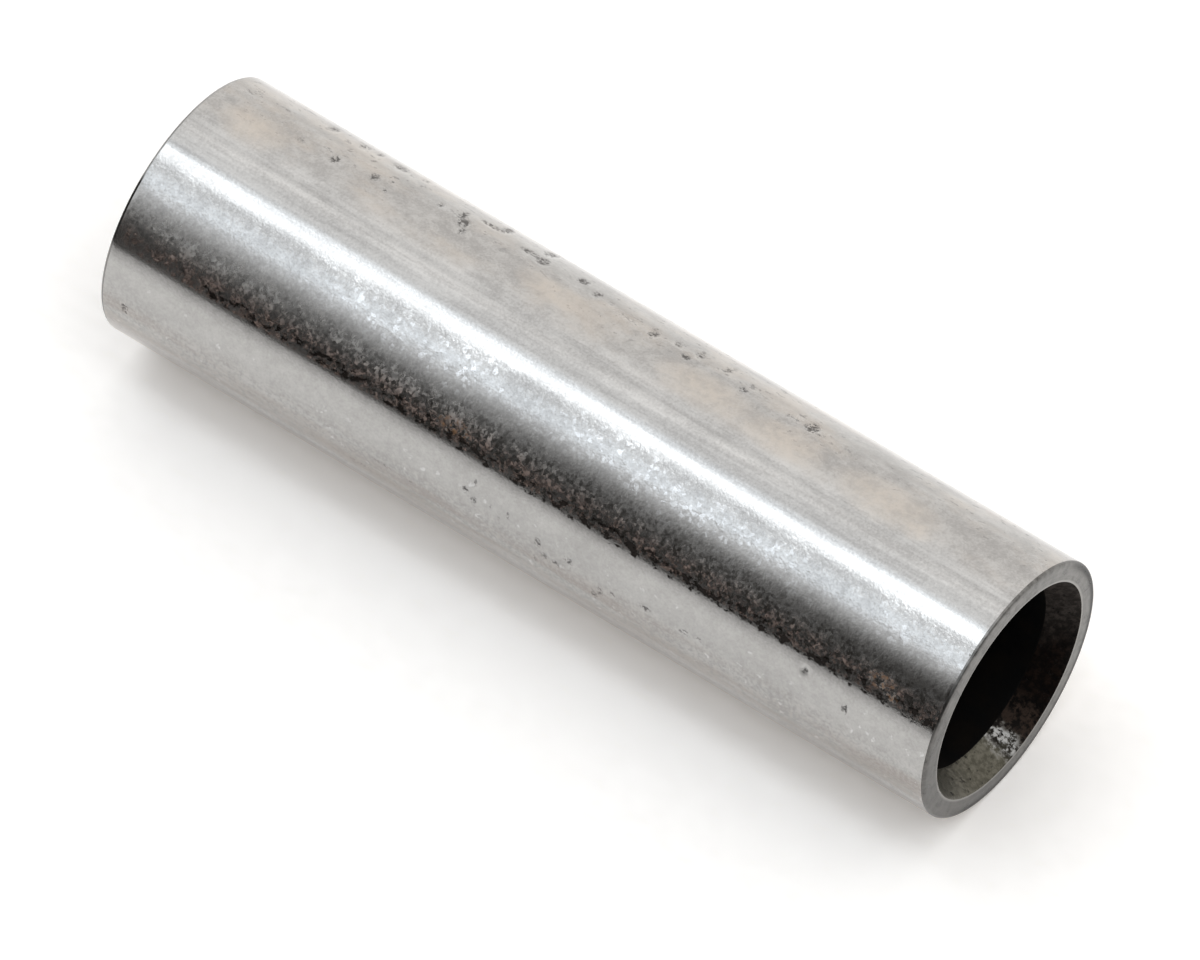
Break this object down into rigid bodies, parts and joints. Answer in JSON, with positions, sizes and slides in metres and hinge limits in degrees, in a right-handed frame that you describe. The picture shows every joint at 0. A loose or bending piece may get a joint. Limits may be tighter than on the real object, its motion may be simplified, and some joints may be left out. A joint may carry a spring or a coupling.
{
  "type": "gudgeon pin",
  "caption": "Hollow cylindrical steel gudgeon pin with countersunk bore ends, which joins a piston to its connecting rod.",
  "frame": {"origin": "centre of the end face that the pin stands on", "axes": "+Z along the pin's axis, away from the end face that it stands on"},
  "size_m": [0.008, 0.008, 0.028],
  "materials": {
    "ground_steel": "ground bright outside, worn and finely pitted, with dark turned ends and a dark bore"
  },
  "bodies": {
    "root": {"gudgeon_pin": "ground_steel"}
  },
  "joints": []
}
